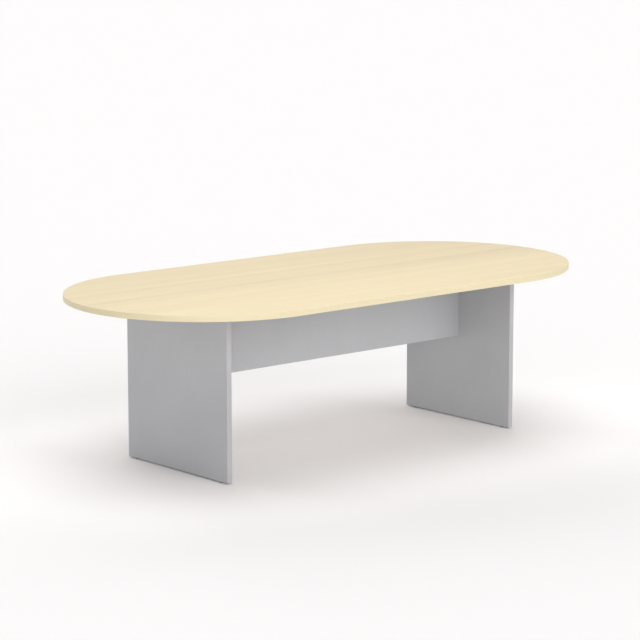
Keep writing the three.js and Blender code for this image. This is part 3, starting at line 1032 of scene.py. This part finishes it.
let_go()
bpy.ops.mesh.primitive_plane_add(size=MM)
stud_model = settle("stud")
bpy.ops.object.mode_set(mode="EDIT")
bpy.ops.mesh.select_mode(type="VERT")
bpy.ops.mesh.select_all(action="SELECT")
bpy.ops.mesh.merge(type="CENTER")
tooth_root = (STUD_RADIUS - THREAD_DEPTH, 0, THREAD_START - SPARE_TURNS * THREAD_PITCH)
bpy.ops.transform.translate(value=tooth_root)
for outward in (THREAD_DEPTH, -THREAD_DEPTH):
    flank = (outward, 0, THREAD_PITCH / 2)
    bpy.ops.mesh.extrude_region_move(TRANSFORM_OT_translate={"value": flank})
bpy.ops.object.mode_set(mode="OBJECT")
print("the tooth has", len(stud_model.data.edges), "edges")

# %% Wind the tooth up and trim the thread
STUD_TOP = 37.5 * MM
THREAD_TURNS = 27
THREAD_STEPS = 32

winding = stud_model.modifiers.new("thread", "SCREW")
winding.angle = 2 * math.pi
winding.screw_offset = THREAD_PITCH
winding.iterations = THREAD_TURNS
winding.steps = THREAD_STEPS
winding.render_steps = THREAD_STEPS
winding.use_merge_vertices = True
winding.merge_threshold = TINY
apply_modifier(stud_model, winding)


def trim(piece, height, keep_above):
    """Cuts a piece off level and closes the cut."""
    take(piece)
    bpy.ops.object.mode_set(mode="EDIT")
    bpy.ops.mesh.select_all(action="SELECT")
    bpy.ops.mesh.bisect(
        plane_co=(0, 0, height),
        plane_no=UP,
        use_fill=True,
        clear_inner=keep_above,
        clear_outer=not keep_above,
        threshold=SAME_PLACE,
    )


tidy_surface(stud_model)
trim(stud_model, THREAD_START, keep_above=True)
trim(stud_model, STUD_TOP, keep_above=False)
tidy_surface(stud_model)
print("the thread has", len(stud_model.data.polygons), "faces")

# %% Weld the hexagon, the neck and the head to the stud
HEX_ACROSS_FLATS = 13 * MM
HEX_SIDES = 6
HEX_BOTTOM = 5 * MM
HEX_TOP = 8 * MM
HEX_ROUND = 0.35 * MM
HEX_ROUND_STEPS = 2
STUD_HEAD_RADIUS = 5.2 * MM
STUD_HEAD_BOTTOM = 1.5 * MM
STUD_HEAD_TOP = 3 * MM


def weld(piece, other):
    combine(piece, other, "UNION")


hex_radius = HEX_ACROSS_FLATS / math.sqrt(3)
hexagon = upright_rod("hexagon", HEX_BOTTOM, HEX_TOP, hex_radius, HEX_SIDES)
round_edges(hexagon, every_corner, HEX_ROUND, HEX_ROUND_STEPS)
weld(stud_model, hexagon)
neck_bottom = (STUD_HEAD_BOTTOM + STUD_HEAD_TOP) / 2
neck_top = (HEX_BOTTOM + HEX_TOP) / 2
weld(stud_model, upright_rod("neck", neck_bottom, neck_top, STUD_RADIUS))
weld(stud_model, upright_rod("head", STUD_HEAD_BOTTOM, STUD_HEAD_TOP, STUD_HEAD_RADIUS))
print("one stud has", len(stud_model.data.polygons), "faces")

# %% Copy the feet to the legs
for foot in FOOT_NAMES:
    place = Matrix.Translation(foot_axis(foot))
    pad = copy_to(pad_model, f"{foot}_pad_disc", place)
    hand_over(pad, f"{foot}_pad", nylon_finish, f"{foot}_pad")
    stud = copy_to(stud_model, f"{foot}_stud_screw", place)
    hand_over(stud, f"{foot}_stud", steel_finish, f"{foot}_stud")
bpy.data.objects.remove(pad_model)
bpy.data.objects.remove(stud_model)

# %% [markdown]
# ## The hidden fittings
#
# The bolts, dowels and inserts are inside the boards. They could be modelled again with threads and
# flutes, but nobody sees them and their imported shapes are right. So they stay as they are and only get
# their finishes, for whoever takes the table apart.

# %% Finish the hidden fittings
HIDDEN_FINISHES = {"_cam_bolt": steel_finish, "_dowel": beech_finish, "_foot_insert": zinc_finish}
for name, node in frame["nodes"].items():
    for ending, finish in HIDDEN_FINISHES.items():
        if name.endswith(ending):
            node.data.materials.clear()
            node.data.materials.append(finish)
            print(name, "in", finish.name)

# %% [markdown]
# ## The studio
#
# The picture has a white ground, soft light from all round and a soft shadow under the table, as in a
# tent of white cloth. One lamp overhead and four low ones around stand in for its panels. Area lamps
# would fall off along a table this long, so each is a sun that is spread over a wide angle: a sun has the
# same strength everywhere, and its spread softens the shadows. The lamps are kept out of reflections: a
# glossy surface, like the camera past the floor, sees the cloth of the tent, which is plain white all
# round. That keeps the pale top from glaring when it is seen against a lamp.

# %% Hang the lamps
PANEL_SPREAD = math.radians(60)
STRAIGHT_UP = 90
LAMPS = {
    "overhead": {"strength": 1.62, "height": 88, "side": 0},
    "front": {"strength": 1.84, "height": 12, "side": 0},
    "front_left": {"strength": 0.95, "height": 12, "side": -45},
    "rear_right": {"strength": 1.36, "height": 12, "side": 135},
    "rear": {"strength": 1.585, "height": 12, "side": 180},
}

for name, lamp in LAMPS.items():
    light = bpy.data.lights.new(name, "SUN")
    light.energy = lamp["strength"]
    light.angle = PANEL_SPREAD
    holder = bpy.data.objects.new(name, light)
    lean = math.radians(STRAIGHT_UP - lamp["height"])
    holder.rotation_euler = (lean, 0, math.radians(lamp["side"]))
    holder.visible_glossy = False
    bpy.context.scene.collection.objects.link(holder)
    print(name, "lamp at", lamp["height"], "degrees")

# %% Light the air of the studio
AIR_LIGHT = 0.124
TENT_LIGHT = 1.0

studio_air = bpy.data.worlds.new("studio air")
studio_air.use_nodes = True
bpy.context.scene.world = studio_air
path_of_light = add_node(studio_air, "ShaderNodeLightPath")
sees_tent = path_of_light.outputs["Is Camera Ray"]
for kind in ("Is Glossy Ray", "Is Transmission Ray"):
    sees_tent = calculate(studio_air, "MAXIMUM", sees_tent, path_of_light.outputs[kind])
level = add_node(studio_air, "ShaderNodeMapRange", Value=sees_tent, To_Min=AIR_LIGHT, To_Max=TENT_LIGHT)
background = studio_air.node_tree.nodes["Background"]
background.inputs["Color"].default_value = (*WHITE, OPAQUE)
studio_air.node_tree.links.new(level.outputs["Result"], background.inputs["Strength"])
print("light from the air:", AIR_LIGHT, "and from the tent where it is seen:", TENT_LIGHT)

# %% Lay the floor
FLOOR_COLOUR = (0.922, 0.902, 0.903)
FLOOR_METRES = 300

let_go()
bpy.ops.mesh.primitive_plane_add(size=FLOOR_METRES)
floor = settle("studio_floor")
floor_finish = new_finish("studio floor", roughness=1.0, specular=0.0)
floor_shader = floor_finish.node_tree.nodes["Principled BSDF"]
floor_shader.inputs["Base Color"].default_value = (*FLOOR_COLOUR, OPAQUE)
floor.data.materials.append(floor_finish)
print("floor", FLOOR_METRES, "m across")
